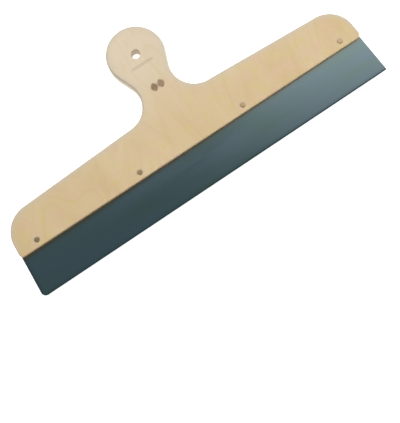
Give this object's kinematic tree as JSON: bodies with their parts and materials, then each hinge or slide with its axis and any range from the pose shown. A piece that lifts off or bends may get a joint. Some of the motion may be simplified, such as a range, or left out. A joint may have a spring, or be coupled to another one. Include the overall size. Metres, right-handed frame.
{
  "type": "flexible putty knife",
  "caption": "Wide flexible putty knife: thin spring-steel blade riveted into a slotted plywood T handle with a round hanging head.",
  "frame": {"origin": "bottom centre of the bounding box, on the knife's flat back face, as it lies on a table", "axes": "+X along the cutting edge, +Y from the blade towards the hanging hole, +Z out of the front face"},
  "size_m": [0.4995, 0.223, 0.013],
  "materials": {
    "plywood": "sanded birch plywood, thin satin varnish",
    "blade_steel": "blued spring steel, lightly oiled",
    "rivet_metal": "dulled, slightly tarnished copper-plated rivet heads",
    "burr_metal": "plain pressed washers"
  },
  "bodies": {
    "handle": {"handle_board": "plywood", "blade_tang": "blade_steel", "rivet_1": "rivet_metal", "rivet_2": "rivet_metal", "rivet_3": "rivet_metal", "rivet_4": "rivet_metal", "burr_1": "burr_metal", "burr_2": "burr_metal", "burr_3": "burr_metal", "burr_4": "burr_metal"},
    "blade": {"blade_sheet": "blade_steel"}
  },
  "joints": [
    {"name": "blade_flex", "type": "hinge", "parent": "handle", "child": "blade", "pos_m": [0, -0.059, 0.006], "axis": [-1, 0, 0], "range_deg": [-6, 6], "stiffness_Nm_per_rad": 30}
  ]
}
